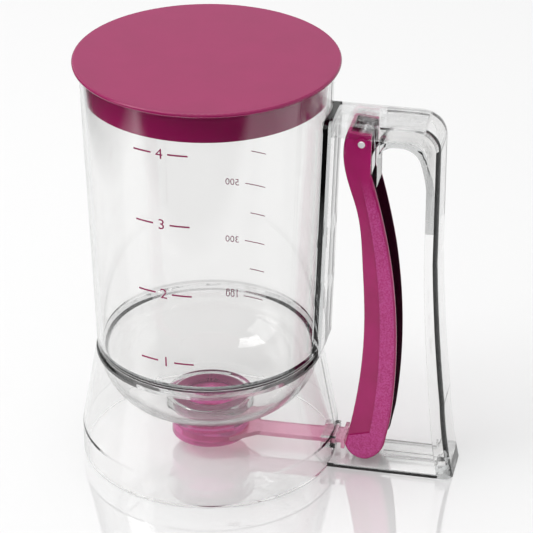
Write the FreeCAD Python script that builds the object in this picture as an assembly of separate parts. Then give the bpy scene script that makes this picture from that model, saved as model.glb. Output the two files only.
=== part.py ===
import FreeCAD
import Part

import math
import os

from FreeCAD import Vector

# Batter dispenser: a clear cup with a funnel floor stands on a flared skirt.
# A squeeze trigger in the D-handle pulls a flat gate off the outlet under the funnel.
# Frame: origin on the cup's axis at the surface it stands on, +X towards the handle, +Z up.
# All lengths are in millimetres and all angles in degrees.

# Heights
LID_TOP_Z = 185.0
STEP_Z = 52.0
FOOT_BAND_H = 12.0

# Cup
CUP_TOP_R = 53.1
CUP_STEP_R = 48.8
CUP_WALL = 2.2
SHOULDER_H = 3.0
COLLAR_H = 3.0
BOWL_BEND_R = 25.0
FLOOR_SLOPE = 10.0
FLOOR_HOLE_R = 12.0
LEDGE_T = 1.7

# Skirt
SKIRT_WALL = 2.2
FOOT_R = 56.2

# Lid
LID_R = 55.8
LID_T = 1.8
LID_EDGE_R = 0.8
PLUG_WALL = 2.2
PLUG_DEPTH = 12.9
PLUG_GAP = 0.35

# Neck, nozzle and seal
NECK_R = 19.5
NECK_WALL = 2.2
NECK_BOTTOM_Z = 16.3
NOZZLE_BOTTOM_Z = 6.6
NOZZLE_FLOOR_T = 1.4
NOZZLE_BORE_R = 10.5
NOZZLE_MOUTH_R = 11.0
NOZZLE_GAP = 0.35
SNAP_COUNT = 3
SNAP_ANGLE = 30.0
SNAP_H = 2.0
SNAP_OUT = 1.2
SNAP_RISE = 1.6
SNAP_GAP = 0.25
SEAL_T = 1.2
SEAL_GAP = 0.4

# Gate
GATE_T = 2.0
GATE_GAP = 0.3
BAR_WIDTH = 10.0
PADDLE_R = 12.5
PADDLE_STRAIGHT = 12.0
PADDLE_TAPER = 10.0
STOP_T = 1.6
HOOK_WIDTH = 14.0
STOP_H = 5.0
HOOK_LENGTH = 3.2
HOOK_PLAY = 0.6
TOE_LEAN = 2.7
SLIT_WIDTH = 2.4
SLIT_LENGTH = 10.0

# Gate guide, a sleeve through the skirt
GUIDE_WALL = 1.6
GUIDE_IN = 4.0
GUIDE_OUT = 1.2

# Handle frame
HANDLE_HALF_WIDTH = 12.2
HANDLE_WALL = 2.2
HANDLE_EDGE_R = 4.0
ARM_DROP = 17.2
ARM_DEPTH = 6.6
GRIP_REACH = 32.8
GRIP_DEPTH = 5.2
CORNER_R = 10.5
GRIP_STRAIGHT_Z = 104.0
FLARE_Z = 36.0
FLARE_OUT = 5.0
FOOT_OUT = 9.8
FOOT_PLATE_T = 2.0
FOOT_GRIP_DEPTH = 7.0
FOOT_RIB_H = 1.2
FOOT_RIB_T = 3.0
FOOT_RIB_LENGTH = 24.0
STRIP_T = 2.6
STRIP_RISE = 3.0

# Liner, the inner cover of the handle's upper corner
LINER_T = 2.2
LINER_GAP = 0.2
LINER_CROWN_DROP = 10.0
LINER_BEND_R = 8.0
LINER_SWEEP = 25.0
LINER_LENGTH = 38.0
TONGUE_BEHIND = 3.8
TONGUE_DROP = 20.8
TONGUE_HALF_WIDTH = 6.4
CHEEK_GAP = 3.5

# Pivot
PIVOT_OUT = 11.0
PIVOT_DROP = 3.0
PIN_R = 1.5
PIN_FIT = 0.05
PIN_PROUD = 0.5
PIN_CHAMFER = 0.3
EAR_R = 3.2
EAR_T = 2.2
EAR_HALF_GAP = 4.0

# Trigger
TRIGGER_HALF_WIDTH = 9.6
TRIGGER_WALL = 2.0
TRIGGER_FLOOR = 1.5
TRIGGER_EDGE_R = 1.6
TRIGGER_DEPTH = 14.0
TRIGGER_FOOT_Z = 3.8
BOSS_R = 2.7
BOSS_OUT = 0.8
PANEL_DEPTH = 0.6
SLOT_PLAY = 2.6
SLOT_SIDE_GAP = 0.5

# Return spring
WIRE_R = 0.45
COIL_R = 2.6
COIL_TURNS = 4
COIL_PITCH = 1.4
LEG_LENGTH = 12.5
FRONT_LEG_TILT = 9.0
REAR_LEG_TILT = 3.0

# How far a cut runs past a face, and how near counts as the same place
PAST = 1.0
TINY = 1e-4

# Places that follow from the sizes above
RIM_Z = LID_TOP_Z - LID_T
ARM_TOP_Z = RIM_Z - ARM_DROP
PIVOT_X = FOOT_R + PIVOT_OUT
PIVOT_Z = ARM_TOP_Z - ARM_DEPTH - PIVOT_DROP
GRIP_X = PIVOT_X + GRIP_REACH
LINER_CROWN_Z = ARM_TOP_Z - LINER_CROWN_DROP
LINER_END_Z = LINER_CROWN_Z - LINER_LENGTH
TONGUE_X = PIVOT_X + TONGUE_BEHIND
TONGUE_BOTTOM_Z = PIVOT_Z - TONGUE_DROP
CUP_SLOPE = (CUP_TOP_R - CUP_STEP_R) / (RIM_Z - STEP_Z)
COLLAR_R = CUP_STEP_R - SKIRT_WALL
BEND_X = COLLAR_R - BOWL_BEND_R
BEND_Z = STEP_Z - COLLAR_H
DRAIN = math.tan(math.radians(FLOOR_SLOPE))
NECK_BORE_R = NECK_R - NECK_WALL
NOZZLE_R = NECK_BORE_R - NOZZLE_GAP
GATE_Z = NOZZLE_BOTTOM_Z + NOZZLE_FLOOR_T + GATE_GAP
GATE_MID_Z = GATE_Z + GATE_T / 2
HANDLE_BORE = HANDLE_HALF_WIDTH - HANDLE_WALL
GRIP_INNER_X = GRIP_X - GRIP_DEPTH
ARM_CEILING_Z = ARM_TOP_Z - HANDLE_WALL
SKIRT_INNER_R = FOOT_R - SKIRT_WALL
BAR_HALF = BAR_WIDTH / 2


def cup_r(z):
    """Outer radius of the cup's tapered wall at a height."""
    return CUP_STEP_R + (z - STEP_Z) * CUP_SLOPE


def outline(start, *steps, plane="xz"):
    """A closed face. A step of one point is a line, of two an arc, of more a smooth curve through them."""

    def place(point):
        if plane == "xz":
            return Vector(point[0], 0, point[1])
        return Vector(point[0], point[1], 0)

    edges = []
    here = start
    for step in list(steps) + [start]:
        if isinstance(step[0], tuple) and len(step) == 2:
            middle, end = step
            edges.append(Part.Arc(place(here), place(middle), place(end)).toShape())
        elif isinstance(step[0], tuple):
            end = step[-1]
            curve = Part.BSplineCurve()
            curve.interpolate([place(point) for point in (here, *step)])
            edges.append(curve.toShape())
        else:
            end = step
            if math.dist(here, end) > TINY:
                edges.append(Part.LineSegment(place(here), place(end)).toShape())
        here = end
    return Part.Face(Part.Wire(edges))


def turned(face):
    """A face in the XZ plane turned once round the cup's axis."""
    return face.revolve(Vector(0, 0, 0), Vector(0, 0, 1), 360)


def across(face, half_width):
    """A face in the XZ plane made into a slab that is centred on it."""
    slab = face.copy()
    slab.translate(Vector(0, -half_width, 0))
    return slab.extrude(Vector(0, 2 * half_width, 0))


def block(x0, x1, y0, y1, z0, z1):
    return Part.makeBox(x1 - x0, y1 - y0, z1 - z0, Vector(x0, y0, z0))


def both_sides(shape):
    """The shape and its mirror image across the handle's middle plane."""
    return [shape, shape.mirror(Vector(0, 0, 0), Vector(0, 1, 0))]


def bowl_point(radius, angle):
    """A point on the bowl's bend, at an angle below the horizontal."""
    turn = math.radians(angle)
    return (BEND_X + radius * math.cos(turn), BEND_Z - radius * math.sin(turn))


FLOOR_END = bowl_point(BOWL_BEND_R - CUP_WALL, 90.0 - FLOOR_SLOPE)
HOLE_Z = FLOOR_END[1] - (FLOOR_END[0] - FLOOR_HOLE_R) * DRAIN
LEDGE_Z = HOLE_Z - LEDGE_T


def batter_cup():
    """Tapered wall, rebated collar, rounded funnel floor and outlet neck in one moulding."""
    floor_angle = 90.0 - FLOOR_SLOPE
    inner_bend = BOWL_BEND_R - CUP_WALL
    outer_end = bowl_point(BOWL_BEND_R, floor_angle)
    inner_end = bowl_point(inner_bend, floor_angle)
    face = outline(
        (FLOOR_HOLE_R, LEDGE_Z),
        (NECK_BORE_R, LEDGE_Z),
        (NECK_BORE_R, NECK_BOTTOM_Z),
        (NECK_R, NECK_BOTTOM_Z),
        (NECK_R, outer_end[1] - (outer_end[0] - NECK_R) * DRAIN),
        outer_end,
        (bowl_point(BOWL_BEND_R, floor_angle / 2), (COLLAR_R, BEND_Z)),
        (COLLAR_R, STEP_Z),
        (CUP_STEP_R, STEP_Z),
        (CUP_TOP_R, RIM_Z),
        (CUP_TOP_R - CUP_WALL, RIM_Z),
        (cup_r(STEP_Z + SHOULDER_H) - CUP_WALL, STEP_Z + SHOULDER_H),
        (COLLAR_R - CUP_WALL, STEP_Z - CUP_WALL / 2),
        (COLLAR_R - CUP_WALL, BEND_Z),
        (bowl_point(inner_bend, floor_angle / 2), inner_end),
        (FLOOR_HOLE_R, HOLE_Z),
    )
    cup = turned(face)
    windows = [snap_segment(NECK_BORE_R - PAST, NECK_R + PAST, SNAP_GAP, i) for i in range(SNAP_COUNT)]
    return cup.cut(windows)


def snap_segment(inner_r, outer_r, gap, index):
    """A ring segment for one snap lug of the nozzle, or with a gap for its window in the neck."""
    low = NECK_BOTTOM_Z + SNAP_RISE
    face = outline(
        (inner_r, low - gap),
        (outer_r, low - gap),
        (outer_r, low + SNAP_H + gap),
        (inner_r, low + SNAP_H + gap),
    )
    angle = SNAP_ANGLE + 2 * math.degrees(gap / NECK_BORE_R)
    segment = face.revolve(Vector(0, 0, 0), Vector(0, 0, 1), angle)
    segment.rotate(Vector(0, 0, 0), Vector(0, 0, 1), 360.0 / SNAP_COUNT * (index + 0.5) - angle / 2)
    return segment


def base_skirt():
    """Flared stand with a plain foot band, a rebate for the cup's collar and a window for the guide."""
    skirt = turned(
        outline(
            (COLLAR_R, STEP_Z),
            (CUP_STEP_R, STEP_Z),
            (FOOT_R, FOOT_BAND_H),
            (FOOT_R, 0),
            (SKIRT_INNER_R, 0),
            (SKIRT_INNER_R, FOOT_BAND_H),
            (COLLAR_R, BEND_Z),
        )
    )
    return skirt.cut(guide_block(0))


def guide_block(shrink):
    """The guide's outer block, or with its wall as the shrink its bore."""
    half = BAR_HALF + GATE_GAP + GUIDE_WALL - shrink
    low = GATE_Z - GATE_GAP - GUIDE_WALL + shrink
    high = GATE_Z + GATE_T + GATE_GAP + GUIDE_WALL - shrink
    return block(SKIRT_INNER_R - GUIDE_IN, FOOT_R + GUIDE_OUT, -half, half, low, high)


def gate_guide():
    return guide_block(0).cut(guide_block(GUIDE_WALL))


def lid():
    """Flat disc with a rounded rim and a hollow plug that fits inside the cup."""
    plug_top = CUP_TOP_R - CUP_WALL - PLUG_GAP
    plug_bottom_z = RIM_Z - PLUG_DEPTH
    plug_bottom = cup_r(plug_bottom_z) - CUP_WALL - PLUG_GAP
    bend = LID_EDGE_R * (1 - math.sqrt(0.5))
    face = outline(
        (0, LID_TOP_Z),
        (LID_R - LID_EDGE_R, LID_TOP_Z),
        ((LID_R - bend, LID_TOP_Z - bend), (LID_R, LID_TOP_Z - LID_EDGE_R)),
        (LID_R, RIM_Z + LID_EDGE_R),
        ((LID_R - bend, RIM_Z + bend), (LID_R - LID_EDGE_R, RIM_Z)),
        (plug_top, RIM_Z),
        (plug_bottom, plug_bottom_z),
        (plug_bottom - PLUG_WALL, plug_bottom_z),
        (plug_top - PLUG_WALL, RIM_Z),
        (0, RIM_Z),
    )
    return turned(face)


def outlet_seal():
    """Soft ring squeezed between the floor's ledge and the nozzle."""
    return turned(
        outline(
            (FLOOR_HOLE_R + SEAL_GAP, LEDGE_Z - SEAL_T),
            (NECK_BORE_R - SEAL_GAP, LEDGE_Z - SEAL_T),
            (NECK_BORE_R - SEAL_GAP, LEDGE_Z),
            (FLOOR_HOLE_R + SEAL_GAP, LEDGE_Z),
        )
    )


def nozzle_housing():
    """Outlet tube with snap lugs, a slot that the gate slides in and a thin floor under the gate."""
    floor_z = NOZZLE_BOTTOM_Z + NOZZLE_FLOOR_T
    tube = turned(
        outline(
            (NOZZLE_BORE_R, floor_z),
            (NOZZLE_MOUTH_R, floor_z),
            (NOZZLE_MOUTH_R, NOZZLE_BOTTOM_Z),
            (NOZZLE_R, NOZZLE_BOTTOM_Z),
            (NOZZLE_R, LEDGE_Z - SEAL_T),
            (NOZZLE_BORE_R, LEDGE_Z - SEAL_T),
        )
    )
    side = PADDLE_R + GATE_GAP
    slot_h = GATE_T + 2 * GATE_GAP
    pocket = Part.makeCylinder(side, slot_h, Vector(0, 0, floor_z))
    way = block(0, NOZZLE_R + PAST, -side, side, floor_z, floor_z + slot_h)
    lugs = [snap_segment(NOZZLE_R - NOZZLE_GAP, NECK_BORE_R + SNAP_OUT, 0, i) for i in range(SNAP_COUNT)]
    return tube.cut([pocket, way]).fuse(lugs).removeSplitter()


def trigger_point(depth, height):
    """A place in the trigger's side view, in shares of its depth behind the pivot and its height to the pivot."""
    return (PIVOT_X + depth * TRIGGER_DEPTH, TRIGGER_FOOT_Z + height * (PIVOT_Z - TRIGGER_FOOT_Z))


def foot_point(depth, height):
    """A place on the trigger's foot, in shares of its depth behind the pivot and above its lowest point."""
    return (PIVOT_X + depth * TRIGGER_DEPTH, TRIGGER_FOOT_Z + height * TRIGGER_DEPTH)


# Trigger's side view, from its head down the front face to the foot and back up the rear edge
HEAD_FRONT = trigger_point(-0.436, 1.0315)
HEAD_REAR = trigger_point(0.286, 1.0249)
FRONT_TOP = trigger_point(-0.564, 0.9712)
FRONT_NECK = trigger_point(-0.443, 0.8886)
FRONT_KNEE = trigger_point(-0.136, 0.7942)
FRONT_HIGH = trigger_point(0.064, 0.6370)
FRONT_MIDDLE = trigger_point(0.150, 0.4797)
FRONT_LOW = trigger_point(0.086, 0.3028)
FRONT_ANKLE = foot_point(-0.0857, 1.9429)
FRONT_TOE = foot_point(-0.3714, 0.4571)
TOE_BEND = foot_point(-0.1714, 0.1286)
FOOT_LOWEST = foot_point(0.3357, 0.0000)
HEEL_BEND = foot_point(0.6857, 0.2571)
HEEL = foot_point(0.8857, 0.7357)
REAR_LOW = foot_point(1.0143, 1.4071)
REAR_MIDDLE = trigger_point(1.164, 0.3814)
REAR_HIGH = trigger_point(0.914, 0.6533)
REAR_NECK = trigger_point(0.614, 0.7877)
REAR_TOP = trigger_point(0.271, 0.9056)

# Drive slot, stop plate and snap hook stand at the trigger's toe
TOE_FACE_X = FRONT_TOE[0]
STOP_X = TOE_FACE_X - HOOK_PLAY - STOP_T
HOOK_X = TOE_FACE_X + TRIGGER_WALL + TOE_LEAN + HOOK_PLAY


def trigger_face():
    return outline(
        HEAD_REAR,
        HEAD_FRONT,
        (FRONT_TOP, FRONT_NECK, FRONT_KNEE, FRONT_HIGH, FRONT_MIDDLE, FRONT_LOW, FRONT_ANKLE, FRONT_TOE),
        (TOE_BEND, FOOT_LOWEST),
        (HEEL_BEND, HEEL),
        REAR_LOW,
        (REAR_MIDDLE, REAR_HIGH),
        (REAR_NECK, REAR_TOP),
    )


def panel_face():
    """The smooth finger panel sunk in each side of the trigger, drawn past the front face."""
    return outline(
        trigger_point(-1.429, 1.0262),
        trigger_point(-0.571, 0.9672),
        (trigger_point(-0.286, 0.9305), trigger_point(-0.043, 0.9056)),
        trigger_point(0.000, 0.8794),
        (trigger_point(0.657, 0.4273), trigger_point(0.407, 0.0917)),
        trigger_point(-0.257, 0.0754),
        trigger_point(-1.429, 0.0537),
    )


def trigger_lever():
    """Channel-shaped trigger: closed towards the cup and open towards the grip."""
    face = trigger_face()
    body = across(face, TRIGGER_HALF_WIDTH)
    front = []
    for edge in body.Edges:
        at_side = abs(abs(edge.CenterOfMass.y) - TRIGGER_HALF_WIDTH) < TINY
        ends = [(vertex.X, vertex.Z) for vertex in edge.Vertexes]
        meets = any(math.dist(end, corner) < TINY for end in ends for corner in (FRONT_TOE, FOOT_LOWEST))
        if at_side and meets:
            front.append(edge)
    body = body.makeFillet(min(TRIGGER_EDGE_R, 0.8 * TRIGGER_WALL), front)

    hollow = across(face, TRIGGER_HALF_WIDTH - TRIGGER_WALL)
    hollow.translate(Vector(TRIGGER_WALL, 0, TRIGGER_FLOOR))
    body = body.cut(hollow)

    panel = across(panel_face(), PANEL_DEPTH / 2)
    panel.translate(Vector(0, TRIGGER_HALF_WIDTH - PANEL_DEPTH / 2, 0))
    body = body.cut(both_sides(panel))

    inside = TRIGGER_HALF_WIDTH - TRIGGER_WALL
    boss_root = Vector(PIVOT_X, inside, PIVOT_Z)
    boss = Part.makeCylinder(BOSS_R, TRIGGER_WALL + BOSS_OUT, boss_root, Vector(0, 1, 0))
    body = body.fuse(both_sides(boss))

    half = BAR_HALF + SLOT_SIDE_GAP
    slot = block(
        STOP_X,
        HOOK_X,
        -half,
        half,
        GATE_Z - SLOT_PLAY,
        GATE_Z + GATE_T + SLOT_PLAY,
    )
    bore = pin_cylinder(PIN_R + PIN_FIT, PIN_PROUD)
    return body.cut([slot, bore]).removeSplitter()


def pin_cylinder(radius, proud):
    reach = TRIGGER_HALF_WIDTH + BOSS_OUT + proud
    return Part.makeCylinder(radius, 2 * reach, Vector(PIVOT_X, -reach, PIVOT_Z), Vector(0, 1, 0))


def trigger_pin():
    pin = pin_cylinder(PIN_R, PIN_PROUD)
    rims = [edge for edge in pin.Edges if isinstance(edge.Curve, Part.Circle)]
    return pin.makeChamfer(PIN_CHAMFER, rims)


def gate_slide():
    """Round-ended paddle on a flat bar, with a stop plate and a split snap hook for the trigger."""
    hook_half = HOOK_WIDTH / 2
    end_x = HOOK_X + HOOK_LENGTH
    taper_x = PADDLE_STRAIGHT + PADDLE_TAPER
    plate = outline(
        (0, -PADDLE_R),
        ((-PADDLE_R, 0), (0, PADDLE_R)),
        (PADDLE_STRAIGHT, PADDLE_R),
        (taper_x, BAR_HALF),
        (HOOK_X, BAR_HALF),
        (HOOK_X, hook_half),
        (end_x, BAR_HALF),
        (end_x, -BAR_HALF),
        (HOOK_X, -hook_half),
        (HOOK_X, -BAR_HALF),
        (taper_x, -BAR_HALF),
        (PADDLE_STRAIGHT, -PADDLE_R),
        plane="xy",
    )
    plate.translate(Vector(0, 0, GATE_Z))
    bar = plate.extrude(Vector(0, 0, GATE_T))
    slit = block(
        end_x - SLIT_LENGTH,
        end_x + PAST,
        -SLIT_WIDTH / 2,
        SLIT_WIDTH / 2,
        GATE_Z - PAST,
        GATE_Z + GATE_T + PAST,
    )
    stop_low = GATE_MID_Z - STOP_H / 2
    stop = block(STOP_X, STOP_X + STOP_T, -hook_half, hook_half, stop_low, stop_low + STOP_H)
    return bar.cut(slit).fuse(stop).removeSplitter()


def handle_outside():
    """Side view of the whole handle with its opening filled, drawn back to inside the cup."""
    back = NECK_R
    corner = CORNER_R * (1 - math.sqrt(0.5))
    return outline(
        (back, ARM_TOP_Z),
        (GRIP_X - CORNER_R, ARM_TOP_Z),
        ((GRIP_X - corner, ARM_TOP_Z - corner), (GRIP_X, ARM_TOP_Z - CORNER_R)),
        (GRIP_X, GRIP_STRAIGHT_Z),
        ((GRIP_X + 0.38 * FLARE_OUT, (GRIP_STRAIGHT_Z + FLARE_Z) / 2), (GRIP_X + FLARE_OUT, FLARE_Z)),
        ((GRIP_X + 0.45 * (FLARE_OUT + FOOT_OUT), FLARE_Z / 2), (GRIP_X + FOOT_OUT, 0)),
        (back, 0),
    )


def handle_opening():
    """Side view of the D-shaped opening, from the strip on the cup round to the foot plate."""
    inner_corner = CORNER_R - GRIP_DEPTH
    corner = inner_corner * (1 - math.sqrt(0.5))
    low_z = STEP_Z + STRIP_RISE
    arm_z = ARM_TOP_Z - ARM_DEPTH
    back = NECK_R
    flare_x = GRIP_X + FLARE_OUT - (GRIP_DEPTH + FOOT_GRIP_DEPTH) / 2
    foot_x = GRIP_X + FOOT_OUT - FOOT_GRIP_DEPTH
    return outline(
        (cup_r(low_z) + STRIP_T, low_z),
        (cup_r(arm_z) + STRIP_T, arm_z),
        (GRIP_INNER_X - inner_corner, arm_z),
        ((GRIP_INNER_X - corner, arm_z - corner), (GRIP_INNER_X, arm_z - inner_corner)),
        (GRIP_INNER_X, GRIP_STRAIGHT_Z),
        ((GRIP_INNER_X + 0.3 * FLARE_OUT, (GRIP_STRAIGHT_Z + FLARE_Z) / 2), (flare_x, FLARE_Z)),
        ((flare_x + 0.42 * (foot_x - flare_x), FLARE_Z / 2), (foot_x, FOOT_PLATE_T)),
        (back, FOOT_PLATE_T),
        (back, low_z),
    )


def inside_of_handle(half_width):
    """The handle's side view drawn in by its wall, as a slab: the channel and all that it encloses."""
    inset = across(handle_outside().makeOffset2D(-HANDLE_WALL), half_width)
    clear_x = cup_r(ARM_TOP_Z) + STRIP_T
    room = block(clear_x, 2 * GRIP_X, -half_width, half_width, 3 * FOOT_PLATE_T, ARM_TOP_Z)
    return inset.common(room)


def cup_and_skirt_filled():
    return turned(
        outline(
            (0, 0),
            (FOOT_R, 0),
            (FOOT_R, FOOT_BAND_H),
            (CUP_STEP_R, STEP_Z),
            (CUP_TOP_R, RIM_Z),
            (0, RIM_Z),
        )
    )


def handle_frame():
    """Channel round a D: a strip on the cup, top arm, grip and foot plate, with two ears for the pin."""
    body = across(handle_outside(), HANDLE_HALF_WIDTH)
    spine = []
    for edge in body.Edges:
        box = edge.BoundBox
        at_side = abs(abs(edge.CenterOfMass.y) - HANDLE_HALF_WIDTH) < TINY
        if at_side and box.ZMax > PAST and box.XMax > NECK_R + PAST:
            spine.append(edge)
    body = body.makeFillet(HANDLE_EDGE_R, spine)
    body = body.cut([across(handle_opening(), HANDLE_HALF_WIDTH + PAST), inside_of_handle(HANDLE_BORE)])

    ear = across(
        outline(
            (PIVOT_X - EAR_R, PIVOT_Z),
            ((PIVOT_X, PIVOT_Z - EAR_R), (PIVOT_X + EAR_R, PIVOT_Z)),
            (PIVOT_X + EAR_R, ARM_CEILING_Z + HANDLE_WALL / 2),
            (PIVOT_X - EAR_R, ARM_CEILING_Z + HANDLE_WALL / 2),
        ),
        EAR_T / 2,
    )
    ear.translate(Vector(0, EAR_HALF_GAP + EAR_T / 2, 0))
    rib_end = GRIP_X + FOOT_OUT - FOOT_GRIP_DEPTH - FOOT_RIB_H
    rib = block(
        rib_end - FOOT_RIB_LENGTH,
        rib_end,
        -FOOT_RIB_T / 2,
        FOOT_RIB_T / 2,
        FOOT_PLATE_T / 2,
        FOOT_PLATE_T + FOOT_RIB_H,
    )
    body = body.fuse(both_sides(ear) + [rib])
    return body.cut([cup_and_skirt_filled(), pin_cylinder(PIN_R, PIN_PROUD)]).removeSplitter()


def liner_area(grow):
    """Side view of the liner from its skin outwards, with the skin's face moved in by a distance."""
    left = TONGUE_X + LINER_T - grow
    crown = LINER_CROWN_Z + grow
    right = GRIP_INNER_X + grow
    bend = LINER_BEND_R + grow
    corner = bend * (1 - math.sqrt(0.5))
    near = PIVOT_X - TRIGGER_DEPTH
    far = GRIP_X + FOOT_OUT

    def swept(back, down):
        return (right - back * LINER_SWEEP, crown - down * LINER_SWEEP)

    return outline(
        (left, TONGUE_BOTTOM_Z),
        (left, crown - bend),
        ((left + corner, crown - corner), (left + bend, crown)),
        swept(0.432, 0),
        (swept(0.232, 0.076), swept(0.112, 0.26)),
        (swept(0.032, 0.6), (right, crown - LINER_SWEEP)),
        (right, LINER_END_Z),
        (far, LINER_END_Z),
        (far, RIM_Z),
        (near, RIM_Z),
        (near, TONGUE_BOTTOM_Z),
    )


def handle_liner():
    """Cover nested in the handle's upper corner, with a tongue that hangs behind the pivot."""
    width = HANDLE_BORE - LINER_GAP
    shell = inside_of_handle(width).common(across(liner_area(0), width))
    hollow = across(liner_area(LINER_T), width - LINER_T)
    wide_x = TONGUE_X + CHEEK_GAP
    wide = shell.cut(hollow).common(block(wide_x, 2 * GRIP_X, -width, width, LINER_END_Z, ARM_TOP_Z))
    tongue = across(liner_area(0).cut(liner_area(LINER_T)), TONGUE_HALF_WIDTH)
    root = block(TONGUE_X, wide_x + PAST, -width, width, TONGUE_BOTTOM_Z, LINER_CROWN_Z + LINER_T)
    tongue = tongue.common(root)
    return wide.fuse(tongue).removeSplitter()


def arc_middle(start, tangent, end):
    """The middle of the arc that leaves one point along a tangent and ends at another."""
    chord = end - start
    along = Vector(chord).normalize()
    aside = (tangent - along * tangent.dot(along)).normalize()
    return (start + end) / 2 + aside * (chord.Length / 2 * math.tan(tangent.getAngle(along) / 2))


def biarc(start, start_tangent, end, end_tangent):
    """Two tangent arcs that join two points and keep both tangents."""
    chord = end - start
    both = start_tangent + end_tangent
    spread = 2 * (1 - start_tangent.dot(end_tangent))
    reach = (math.sqrt(chord.dot(both) ** 2 + spread * chord.dot(chord)) - chord.dot(both)) / spread
    join = (start + end + (start_tangent - end_tangent) * reach) / 2
    return [
        Part.Arc(start, arc_middle(start, start_tangent, join), join).toShape(),
        Part.Arc(join, arc_middle(end, end_tangent * -1, join), end).toShape(),
    ]


def coil_point(t):
    """A point on the spring's helix and its tangent, for t from 0 at the front leg to 1 at the rear leg."""
    first = math.pi - math.radians(FRONT_LEG_TILT)
    sweep = first - math.radians(REAR_LEG_TILT) + 2 * math.pi * COIL_TURNS
    angle = first - sweep * t
    rise = COIL_PITCH * sweep / (2 * math.pi)
    point = Vector(COIL_R * math.cos(angle), rise * (t - 0.5), COIL_R * math.sin(angle))
    tangent = Vector(COIL_R * sweep * math.sin(angle), rise, -COIL_R * sweep * math.cos(angle))
    return point + Vector(PIVOT_X, 0, PIVOT_Z), tangent.normalize()


def return_spring():
    """Torsion spring round the pin: a helix with one leg on the trigger and one on the tongue."""
    steps = 4 * COIL_TURNS + 2
    first, first_tangent = coil_point(0)
    last, last_tangent = coil_point(1)
    front_end = first - first_tangent * LEG_LENGTH
    edges = [Part.LineSegment(front_end, first).toShape()]
    for i in range(steps):
        edges += biarc(*coil_point(i / steps), *coil_point((i + 1) / steps))
    edges.append(Part.LineSegment(last, last + last_tangent * LEG_LENGTH).toShape())
    pipe = Part.BRepOffsetAPI.MakePipeShell(Part.Wire(edges))
    pipe.add(Part.Wire([Part.Circle(front_end, first_tangent, WIRE_R).toShape()]))
    pipe.build()
    pipe.makeSolid()
    print(f"return_spring: least gap to itself {least_coil_gap():.2f}")
    return pipe.shape()


def least_coil_gap():
    """The least gap between turns of the coil, measured on points more than half a turn apart."""
    count = 60 * COIL_TURNS
    points = [coil_point(i / count)[0] for i in range(count + 1)]
    apart = count // COIL_TURNS // 2
    pairs = ((a, b) for i, a in enumerate(points) for b in points[i + apart :])
    return min((a - b).Length for a, b in pairs) - 2 * WIRE_R


PIECES = {
    "lid": lid,
    "batter_cup": batter_cup,
    "base_skirt": base_skirt,
    "outlet_seal": outlet_seal,
    "nozzle_housing": nozzle_housing,
    "gate_slide": gate_slide,
    "gate_guide": gate_guide,
    "handle_frame": handle_frame,
    "handle_liner": handle_liner,
    "trigger_lever": trigger_lever,
    "trigger_pin": trigger_pin,
    "return_spring": return_spring,
}


os.makedirs("parts", exist_ok=True)
for name, make in PIECES.items():
    shape = make()
    solids = shape.Solids
    piece = solids[0] if len(solids) == 1 else shape
    piece.exportStep(f"parts/{name}.step")
    box = piece.BoundBox
    print(
        f"{name}: {len(solids)} solid, valid {piece.isValid()}, volume {piece.Volume:.0f},"
        f" x {box.XMin:.2f}..{box.XMax:.2f}, y {box.YMin:.2f}..{box.YMax:.2f}, z {box.ZMin:.2f}..{box.ZMax:.2f}"
    )
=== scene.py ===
import math

import bpy
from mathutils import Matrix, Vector


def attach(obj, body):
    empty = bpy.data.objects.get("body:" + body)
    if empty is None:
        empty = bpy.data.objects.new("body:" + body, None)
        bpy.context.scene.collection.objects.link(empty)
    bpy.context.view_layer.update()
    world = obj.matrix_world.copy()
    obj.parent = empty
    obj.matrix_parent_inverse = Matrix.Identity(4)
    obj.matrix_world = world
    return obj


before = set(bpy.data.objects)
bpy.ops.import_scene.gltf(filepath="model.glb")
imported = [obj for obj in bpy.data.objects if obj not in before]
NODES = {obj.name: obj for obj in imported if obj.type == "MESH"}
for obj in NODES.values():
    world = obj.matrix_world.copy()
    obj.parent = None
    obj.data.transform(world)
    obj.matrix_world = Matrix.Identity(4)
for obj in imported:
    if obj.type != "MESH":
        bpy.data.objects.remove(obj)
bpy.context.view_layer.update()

MM = 0.001
WHITE = (1.0, 1.0, 1.0, 1.0)

# Camera, worked out from the photograph. Turn and tilt are in degrees.
CAMERA_AT = (0.2430, -1.0201, 0.6567)
CAMERA_TURN = 12.05
CAMERA_TILT = 28.54
CAMERA_LENS = 187.8
CAMERA_SENSOR = 36.0
CAMERA_CLIP = (0.05, 30.0)

# Cup's outside wall
CUP_TOP_R = 53.1 * MM
CUP_STEP_R = 48.8 * MM
RIM_Z = 183.2 * MM
STEP_Z = 52.0 * MM
CUP_SLOPE = (CUP_TOP_R - CUP_STEP_R) / (RIM_Z - STEP_Z)

# Joints between clear pieces, as ranges: the cup's collar in the skirt and the handle's strip on the cup
COLLAR_R = (46.4 * MM, 48.7 * MM)
COLLAR_Z = (48.95 * MM, 52.05 * MM)
STRIP_SKIN = (-0.06 * MM, 0.06 * MM)
STRIP_Y = (-11.9 * MM, 11.9 * MM)
STRIP_Z = (55.3 * MM, 165.7 * MM)

# Thick clear edges with a painted lightening, so they look pale: the ring at the cup's foot and the handle's arm
RING_R = (45.0 * MM, 51.5 * MM)
RING_Z = (49.2 * MM, 52.4 * MM)
ARM_X = (55.0 * MM, 93.0 * MM)
ARM_Z = (158.0 * MM, 166.5 * MM)
PAINTED_PALE_SHARE = 0.75

# Lid and trigger
LID_SATIN_Z = RIM_Z + 1.6 * MM
TRIGGER_OUTSIDE_Y = 9.6 * MM
TRIGGER_INSIDE_Y = 7.6 * MM
TRIGGER_GRAIN_Z = (126.0 * MM, 140.0 * MM)

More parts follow.
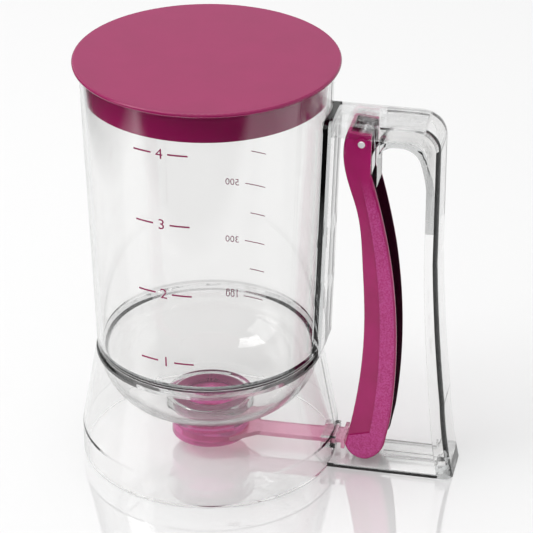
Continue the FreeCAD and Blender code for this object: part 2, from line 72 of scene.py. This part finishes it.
# Print on the cup. Angles are in degrees round the cup, from the handle.
INK_LIFT = 0.05 * MM
INK_T = 0.06 * MM
CUP_MARK_ANGLE = -98.5
CUP_MARK_Z = (66.4, 99.5, 132.3, 164.8)
CUP_MARK_LEFT = (-11.6, -3.6)
CUP_MARK_RIGHT = (3.6, 12.0)
CUP_MARK_T = 0.75 * MM
CUP_NUMBER_H = 4.8 * MM
FINE_MARK_ANGLE = 78.0
FINE_NUMBER_ANGLE = 90.8
FINE_MARK_Z = (48.0, 61.4, 75.0, 89.1, 103.1, 119.2)
FINE_MARK_START = -5.0
FINE_MARK_LONG = 5.0
FINE_MARK_SHORT = 2.4
FINE_MARK_T = 0.45 * MM
FINE_NUMBER_H = 3.2 * MM
DIGIT_SHARE = 0.72

# Studio
WORLD_LIGHT = 0.62
ROOM_DARK = 0.06
FLOOR_GLOW = 0.105
FLOOR_HALF = 8.0
FLOOR_DROP = 0.0002
LAMPS_LOOK_AT = Vector((0.0, 0.0, 0.08))


def srgb(r, g, b):
    """A display colour of 0 to 255 as a linear one."""
    out = []
    for value in (r, g, b):
        c = value / 255
        out.append(c / 12.92 if c <= 0.04045 else ((c + 0.055) / 1.055) ** 2.4)
    return (*out, 1.0)


def shown(made):
    """Puts an object in the scene."""
    bpy.context.scene.collection.objects.link(made)
    return made


def make_camera():
    data = bpy.data.cameras.new("camera")
    data.lens = CAMERA_LENS
    data.sensor_width = CAMERA_SENSOR
    data.clip_start, data.clip_end = CAMERA_CLIP
    camera = shown(bpy.data.objects.new("camera", data))
    camera.location = CAMERA_AT
    camera.rotation_euler = (math.radians(90.0 - CAMERA_TILT), 0.0, math.radians(CAMERA_TURN))
    bpy.context.scene.camera = camera


class Shading:
    """A node tree of a material or of the world, with short calls for its nodes and links."""

    def __init__(self, owner, output, places):
        owner.use_nodes = True
        self.owner = owner
        self.tree = owner.node_tree
        self.tree.nodes.clear()
        self.place_kind = places
        self.out = self.node(output)

    def node(self, kind, **values):
        """A node. A value whose name is an input's goes there, and any other one is a property of the node."""
        made = self.tree.nodes.new(kind)
        for key, value in values.items():
            name = key.replace("_", " ")
            if name in made.inputs:
                made.inputs[name].default_value = value
            else:
                setattr(made, key, value)
        return made

    def link(self, a, b):
        self.tree.links.new(a, b)

    def feed(self, value, socket):
        """Gives a socket a plain number, or links another socket to it."""
        if isinstance(value, float):
            socket.default_value = value
        else:
            self.link(value, socket)

    def surface(self, socket):
        self.link(socket, self.out.inputs["Surface"])

    def split(self, socket):
        """A vector's X, Y and Z."""
        made = self.node("ShaderNodeSeparateXYZ")
        self.link(socket, made.inputs["Vector"])
        return made.outputs

    def places(self):
        return self.node("ShaderNodeTexCoord").outputs[self.place_kind]

    def calc(self, operation, a, b=0.0):
        made = self.node("ShaderNodeMath", operation=operation)
        self.feed(a, made.inputs[0])
        self.feed(b, made.inputs[1])
        return made.outputs["Value"]

    def both(self, a, b):
        return self.calc("MULTIPLY", a, b)

    def either(self, a, b):
        return self.calc("MAXIMUM", a, b)

    def within(self, value, limits):
        return self.both(self.calc("GREATER_THAN", value, limits[0]), self.calc("LESS_THAN", value, limits[1]))

    def ramp(self, socket, low, high, to_low, to_high):
        made = self.node("ShaderNodeMapRange")
        made.inputs["From Min"].default_value = low
        made.inputs["From Max"].default_value = high
        made.inputs["To Min"].default_value = to_low
        made.inputs["To Max"].default_value = to_high
        self.link(socket, made.inputs["Value"])
        return made.outputs["Result"]

    def noise(self, scale, detail=3.0):
        made = self.node("ShaderNodeTexNoise", Scale=scale, Detail=detail)
        self.link(self.places(), made.inputs["Vector"])
        return made.outputs["Fac"]

    def bump(self, height, strength, distance):
        made = self.node("ShaderNodeBump", Distance=distance)
        self.feed(strength, made.inputs["Strength"])
        self.link(height, made.inputs["Height"])
        return made.outputs["Normal"]

    def mix_shaders(self, share, first, second):
        made = self.node("ShaderNodeMixShader")
        self.link(share, made.inputs["Fac"])
        self.link(first, made.inputs[1])
        self.link(second, made.inputs[2])
        return made.outputs["Shader"]

    def mix_numbers(self, share, first, second):
        made = self.node("ShaderNodeMix", data_type="FLOAT")
        self.link(share, made.inputs["Factor"])
        self.feed(first, made.inputs[2])
        self.feed(second, made.inputs[3])
        return made.outputs[0]

    def mix_colours(self, share, first, second):
        """A colour that goes over to another one by a share. The second one is a plain colour."""
        made = self.node("ShaderNodeMix", data_type="RGBA")
        self.link(share, made.inputs["Factor"])
        if isinstance(first, tuple):
            made.inputs[6].default_value = first
        else:
            self.link(first, made.inputs[6])
        made.inputs[7].default_value = second
        return made.outputs[2]


def new_material(name):
    return Shading(bpy.data.materials.new(name), "ShaderNodeOutputMaterial", "Object")


def bonded(m):
    """1 where the cup is welded to the skirt or the handle's strip to the cup, so no surface shows inside the joint.
    Round the cup's foot and in the handle's arm it is a share, a painted lightening that makes the thick edges there
    show as pale lines instead of dark refraction lines."""
    x, y, z = m.split(m.places())
    radius = m.calc("SQRT", m.calc("ADD", m.both(x, x), m.both(y, y)))
    collar = m.both(m.within(radius, COLLAR_R), m.within(z, COLLAR_Z))
    wall = m.calc("SUBTRACT", radius, m.calc("ADD", m.both(z, CUP_SLOPE), CUP_STEP_R - STEP_Z * CUP_SLOPE))
    strip = m.both(m.within(wall, STRIP_SKIN), m.within(y, STRIP_Y))
    strip = m.both(strip, m.both(m.calc("GREATER_THAN", x, 0.0), m.within(z, STRIP_Z)))
    # Painted lightening: the ring and the arm are made partly see-through by position, which hides the dark
    # refraction lines there.
    ring = m.both(m.within(radius, RING_R), m.within(z, RING_Z))
    arm = m.both(m.within(x, ARM_X), m.within(z, ARM_Z))
    return m.either(m.either(collar, strip), m.both(m.either(ring, arm), PAINTED_PALE_SHARE))


def clear_plastic(name, tint, welded=False):
    """Clear moulded plastic: faint flow waves and haze, greyer along thick edges, and lamps shine through."""
    m = new_material(name)
    shader = m.node("ShaderNodeBsdfPrincipled", IOR=1.5, Base_Color=tint, Transmission_Weight=1.0)
    m.link(m.ramp(m.noise(55.0), 0.5, 0.85, 0.0, 0.04), shader.inputs["Roughness"])
    m.link(m.bump(m.noise(38.0, 1.0), 0.05, 0.6 * MM), shader.inputs["Normal"])
    through = m.node("ShaderNodeBsdfTransparent", Color=WHITE)
    share = m.node("ShaderNodeLightPath").outputs["Is Shadow Ray"]
    if welded:
        share = m.either(share, bonded(m))
    m.surface(m.mix_shaders(share, shader.outputs["BSDF"], through.outputs["BSDF"]))
    haze = m.node("ShaderNodeVolumeAbsorption", Color=(0.48, 0.5, 0.5, 1.0), Density=35.0)
    m.link(haze.outputs["Volume"], m.out.inputs["Volume"])
    return m.owner


def tinted_plastic(name, dark, light, roughness, clear=0.0, grain=0.25, satin_above=None, strip=None):
    """Magenta plastic with cloudy colour and a finely grained surface. More than half clear, it lets lamps through.
    It may be satin above a height. A strip's colour marks the trigger: the outer faces beside its panels are
    speckled with it, and its inner side walls are painted near-black, a painted shade for the shadow inside its
    channel."""
    m = new_material(name)
    shader = m.node("ShaderNodeBsdfPrincipled", IOR=1.5, Transmission_Weight=clear)
    colour = m.mix_colours(m.ramp(m.noise(60.0, 4.0), 0.3, 0.7, 0.0, 1.0), dark, light)
    rough = m.ramp(m.noise(220.0), 0.3, 0.7, roughness * 0.85, roughness * 1.15)
    if strip is not None:
        _, y, z = m.split(m.places())
        width = m.calc("ABSOLUTE", y)
        outer = m.ramp(width, TRIGGER_OUTSIDE_Y - 0.3 * MM, TRIGGER_OUTSIDE_Y - 0.2 * MM, 0.0, 1.0)
        outer = m.both(outer, m.ramp(z, *TRIGGER_GRAIN_Z, 1.0, 0.0))
        speckle = m.ramp(m.noise(1500.0, 2.0), 0.35, 0.65, 0.3, 1.0)
        colour = m.mix_colours(m.both(outer, speckle), colour, strip)
        # Painted shade: the inner side walls of the trigger's channel get a near-black colour that stands in for the
        # shadow inside it.
        facing = m.split(m.node("ShaderNodeTexCoord").outputs["Normal"])
        sideways = m.calc("GREATER_THAN", m.calc("ABSOLUTE", facing["Y"]), 0.7)
        inner_painted_shade = m.both(sideways, m.calc("LESS_THAN", width, TRIGGER_INSIDE_Y + 0.1 * MM))
        colour = m.mix_colours(inner_painted_shade, colour, (0.03, 0.002, 0.012, 1.0))
        grain = m.ramp(outer, 0.0, 1.0, grain, 1.0)
    if satin_above is not None:
        top = m.ramp(m.split(m.places())["Z"], satin_above, satin_above + 0.2 * MM, 0.0, 1.0)
        rough = m.mix_numbers(top, rough, 0.45)
    m.link(colour, shader.inputs["Base Color"])
    m.link(rough, shader.inputs["Roughness"])
    m.link(m.bump(m.noise(1800.0, 2.0), grain, 0.04 * MM), shader.inputs["Normal"])
    if clear > 0.5:
        lamps = m.node("ShaderNodeLightPath").outputs["Is Shadow Ray"]
        through = m.node("ShaderNodeBsdfTransparent", Color=light)
        m.surface(m.mix_shaders(lamps, shader.outputs["BSDF"], through.outputs["BSDF"]))
    else:
        m.surface(shader.outputs["BSDF"])
    return m.owner


def metal(name, colour, roughness):
    """Drawn or turned steel with fine lines."""
    m = new_material(name)
    shader = m.node("ShaderNodeBsdfPrincipled", Metallic=1.0, Base_Color=colour)
    m.link(m.ramp(m.noise(900.0), 0.3, 0.7, roughness, roughness + 0.12), shader.inputs["Roughness"])
    m.link(m.bump(m.noise(2500.0), 0.1, 0.02 * MM), shader.inputs["Normal"])
    m.surface(shader.outputs["BSDF"])
    return m.owner


def dress(material, *names):
    for name in names:
        slots = NODES[name].data.materials
        slots.clear()
        slots.append(material)


def print_mesh(name, flat, material, angle, z_middle):
    """Bends a flat outline, in metres with X along and Y up, round the cup and gives it the ink's thickness."""
    flat_verts, flat_faces = flat
    turn = math.radians(angle)
    verts = []
    for lift in (INK_LIFT, INK_LIFT + INK_T):
        for along, up in flat_verts:
            z = z_middle + up
            wall = CUP_STEP_R + (z - STEP_Z) * CUP_SLOPE
            a = turn + along / wall
            verts.append(((wall + lift) * math.cos(a), (wall + lift) * math.sin(a), z))
    count = len(flat_verts)
    faces = [tuple(i + count for i in face) for face in flat_faces]
    faces += [tuple(reversed(face)) for face in flat_faces]
    sides = {}
    for face in flat_faces:
        for i, a in enumerate(face):
            sides[(a, face[(i + 1) % len(face)])] = True
    faces += [(a, b, b + count, a + count) for a, b in sides if (b, a) not in sides]
    mesh = bpy.data.meshes.new(name)
    mesh.from_pydata(verts, [], faces)
    mesh.materials.append(material)
    made = shown(bpy.data.objects.new(name, mesh))
    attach(made, "frame")


def line_shape(x0, x1, thick):
    """A short printed line between two places in millimetres, in a few steps along its length."""
    steps = 6
    verts = []
    for i in range(steps + 1):
        x = (x0 + (x1 - x0) * i / steps) * MM
        verts += [(x, -thick / 2), (x, thick / 2)]
    faces = [(2 * i, 2 * i + 2, 2 * i + 3, 2 * i + 1) for i in range(steps)]
    return verts, faces


def number_shape(number, height):
    """A number as a flat outline, centred on its origin. It is drawn large and scaled, which keeps its holes open."""
    curve = bpy.data.curves.new("number", "FONT")
    curve.body = str(number)
    curve.size = 1.0
    curve.resolution_u = 4
    holder = shown(bpy.data.objects.new("number", curve))
    bpy.context.view_layer.update()
    mesh = bpy.data.meshes.new_from_object(holder)
    scale = height / DIGIT_SHARE
    verts = [(v.co.x * scale, v.co.y * scale) for v in mesh.vertices]
    faces = [tuple(p.vertices) for p in mesh.polygons]
    middle = [(min(v[k] for v in verts) + max(v[k] for v in verts)) / 2 for k in (0, 1)]
    bpy.data.objects.remove(holder)
    bpy.data.meshes.remove(mesh)
    bpy.data.curves.remove(curve)
    return [(x - middle[0], y - middle[1]) for x, y in verts], faces


def graduations(ink):
    """Cup marks on the side towards the camera, and a finer scale on the far side."""
    for i, z in enumerate(CUP_MARK_Z, 1):
        for part, flat in (
            ("left", line_shape(*CUP_MARK_LEFT, CUP_MARK_T)),
            ("right", line_shape(*CUP_MARK_RIGHT, CUP_MARK_T)),
            ("number", number_shape(i, CUP_NUMBER_H)),
        ):
            print_mesh(f"cup_mark_{i}_{part}", flat, ink, CUP_MARK_ANGLE, z * MM)
    for i, z in enumerate(FINE_MARK_Z, 1):
        is_long = i % 2 == 1
        end = FINE_MARK_LONG if is_long else FINE_MARK_SHORT
        print_mesh(f"fine_mark_{i}", line_shape(FINE_MARK_START, end, FINE_MARK_T), ink, FINE_MARK_ANGLE, z * MM)
        if is_long:
            number = number_shape(i * 100, FINE_NUMBER_H)
            print_mesh(f"fine_number_{i}", number, ink, FINE_NUMBER_ANGLE, z * MM)


def ray_kinds(m):
    """Shares of 0 or 1: rays that show the background, rays that were mirrored, and those mirrored in plastic."""
    path = m.node("ShaderNodeLightPath").outputs
    seen = m.either(path["Is Camera Ray"], m.either(path["Is Glossy Ray"], path["Is Transmission Ray"]))
    mirrored = m.calc("GREATER_THAN", path["Glossy Depth"], 0.5)
    in_plastic = m.both(mirrored, m.calc("GREATER_THAN", path["Transmission Depth"], 0.5))
    return seen, mirrored, in_plastic


def white_world():
    """White behind the object and in gloss. Rays mirrored in plastic find the ceiling and the room in front dark."""
    m = Shading(bpy.data.worlds.new("studio"), "ShaderNodeOutputWorld", "Generated")
    _, y, z = m.split(m.places())
    seen, _, in_plastic = ray_kinds(m)
    room = m.both(m.ramp(z, 0.58, 0.75, 1.0, ROOM_DARK), m.ramp(y, -0.2, 0.1, ROOM_DARK, 1.0))
    light = m.node("ShaderNodeBackground", Color=WHITE, Strength=WORLD_LIGHT)
    back = m.node("ShaderNodeBackground", Strength=1.0)
    m.link(m.mix_numbers(in_plastic, 1.0, room), back.inputs["Color"])
    m.surface(m.mix_shaders(seen, light.outputs["Background"], back.outputs["Background"]))
    bpy.context.scene.world = m.owner


def white_floor():
    """Glossy white sheet that keeps a shadow. Mirrored rays find it dark in front of the object and to its left."""
    m = new_material("floor")
    sheet = m.node("ShaderNodeBsdfPrincipled", Roughness=0.01, IOR=2.9, Base_Color=(0.8, 0.8, 0.8, 1.0))
    glow = m.node("ShaderNodeEmission", Strength=FLOOR_GLOW)
    lit = m.node("ShaderNodeAddShader")
    m.link(sheet.outputs["BSDF"], lit.inputs[0])
    m.link(glow.outputs["Emission"], lit.inputs[1])
    dark = m.node("ShaderNodeBsdfDiffuse", Color=(ROOM_DARK, ROOM_DARK, ROOM_DARK, 1.0))
    seen, mirrored, _ = ray_kinds(m)
    x, y, _ = m.split(m.places())
    off_sheet = m.either(m.ramp(y, -0.27, -0.23, 1.0, 0.0), m.ramp(x, -0.34, -0.28, 1.0, 0.0))
    sheet_seen = m.mix_shaders(seen, sheet.outputs["BSDF"], lit.outputs["Shader"])
    m.surface(m.mix_shaders(m.both(mirrored, off_sheet), sheet_seen, dark.outputs["BSDF"]))
    mesh = bpy.data.meshes.new("floor")
    corners = [(x * FLOOR_HALF, y * FLOOR_HALF, 0.0) for x, y in ((-1, -1), (1, -1), (1, 1), (-1, 1))]
    mesh.from_pydata(corners, [], [(0, 1, 2, 3)])
    mesh.materials.append(m.owner)
    floor = shown(bpy.data.objects.new("floor", mesh))
    floor.location.z = -FLOOR_DROP


def soft_light(name, place, size, power):
    data = bpy.data.lights.new(name, "AREA")
    data.shape = "RECTANGLE"
    data.size, data.size_y = size
    data.energy = power
    lamp = shown(bpy.data.objects.new(name, data))
    lamp.location = place
    lamp.rotation_euler = (LAMPS_LOOK_AT - Vector(place)).to_track_quat("-Z", "Y").to_euler()


make_camera()

clear = clear_plastic("clear_plastic", (0.999, 0.996, 0.993, 1.0))
welded = clear_plastic("welded_plastic_painted_pale", (0.999, 0.996, 0.993, 1.0), welded=True)
lid_pink = tinted_plastic("lid_magenta", srgb(160, 1, 90), srgb(166, 2, 94), 0.1, 0.2, satin_above=LID_SATIN_Z)
trigger_pink = tinted_plastic(
    "trigger_magenta", srgb(172, 4, 98), srgb(188, 9, 113), 0.22, 0.1, grain=0.5, strip=srgb(208, 70, 152)
)
nozzle_pink = tinted_plastic("nozzle_magenta", srgb(222, 104, 176), srgb(232, 116, 184), 0.08, 0.8)
gate_pink = tinted_plastic("gate_magenta", srgb(236, 172, 200), srgb(242, 180, 206), 0.1, 0.7)
ink = tinted_plastic("ink", srgb(140, 14, 78), srgb(150, 18, 84), 0.5)
seal = tinted_plastic("seal_rubber", srgb(206, 84, 156), srgb(216, 94, 166), 0.4, 0.5)
pin_steel = metal("pin_steel", (0.95, 0.95, 0.95, 1.0), 0.5)
spring_steel = metal("spring_steel", (0.8, 0.8, 0.81, 1.0), 0.22)

dress(welded, "batter_cup", "base_skirt", "handle_frame")
dress(clear, "handle_liner", "gate_guide")
dress(lid_pink, "lid")
dress(trigger_pink, "trigger_lever")
dress(nozzle_pink, "nozzle_housing")
dress(gate_pink, "gate_slide")
dress(seal, "outlet_seal")
dress(pin_steel, "trigger_pin")
dress(spring_steel, "return_spring")

graduations(ink)
white_world()
white_floor()
soft_light("overhead", (-0.5, -0.2, 1.5), (0.5, 1.6), 12.0)
soft_light("side", (-1.4, -0.9, 0.7), (0.9, 1.4), 6.0)

bpy.context.scene.view_settings.view_transform = "Standard"
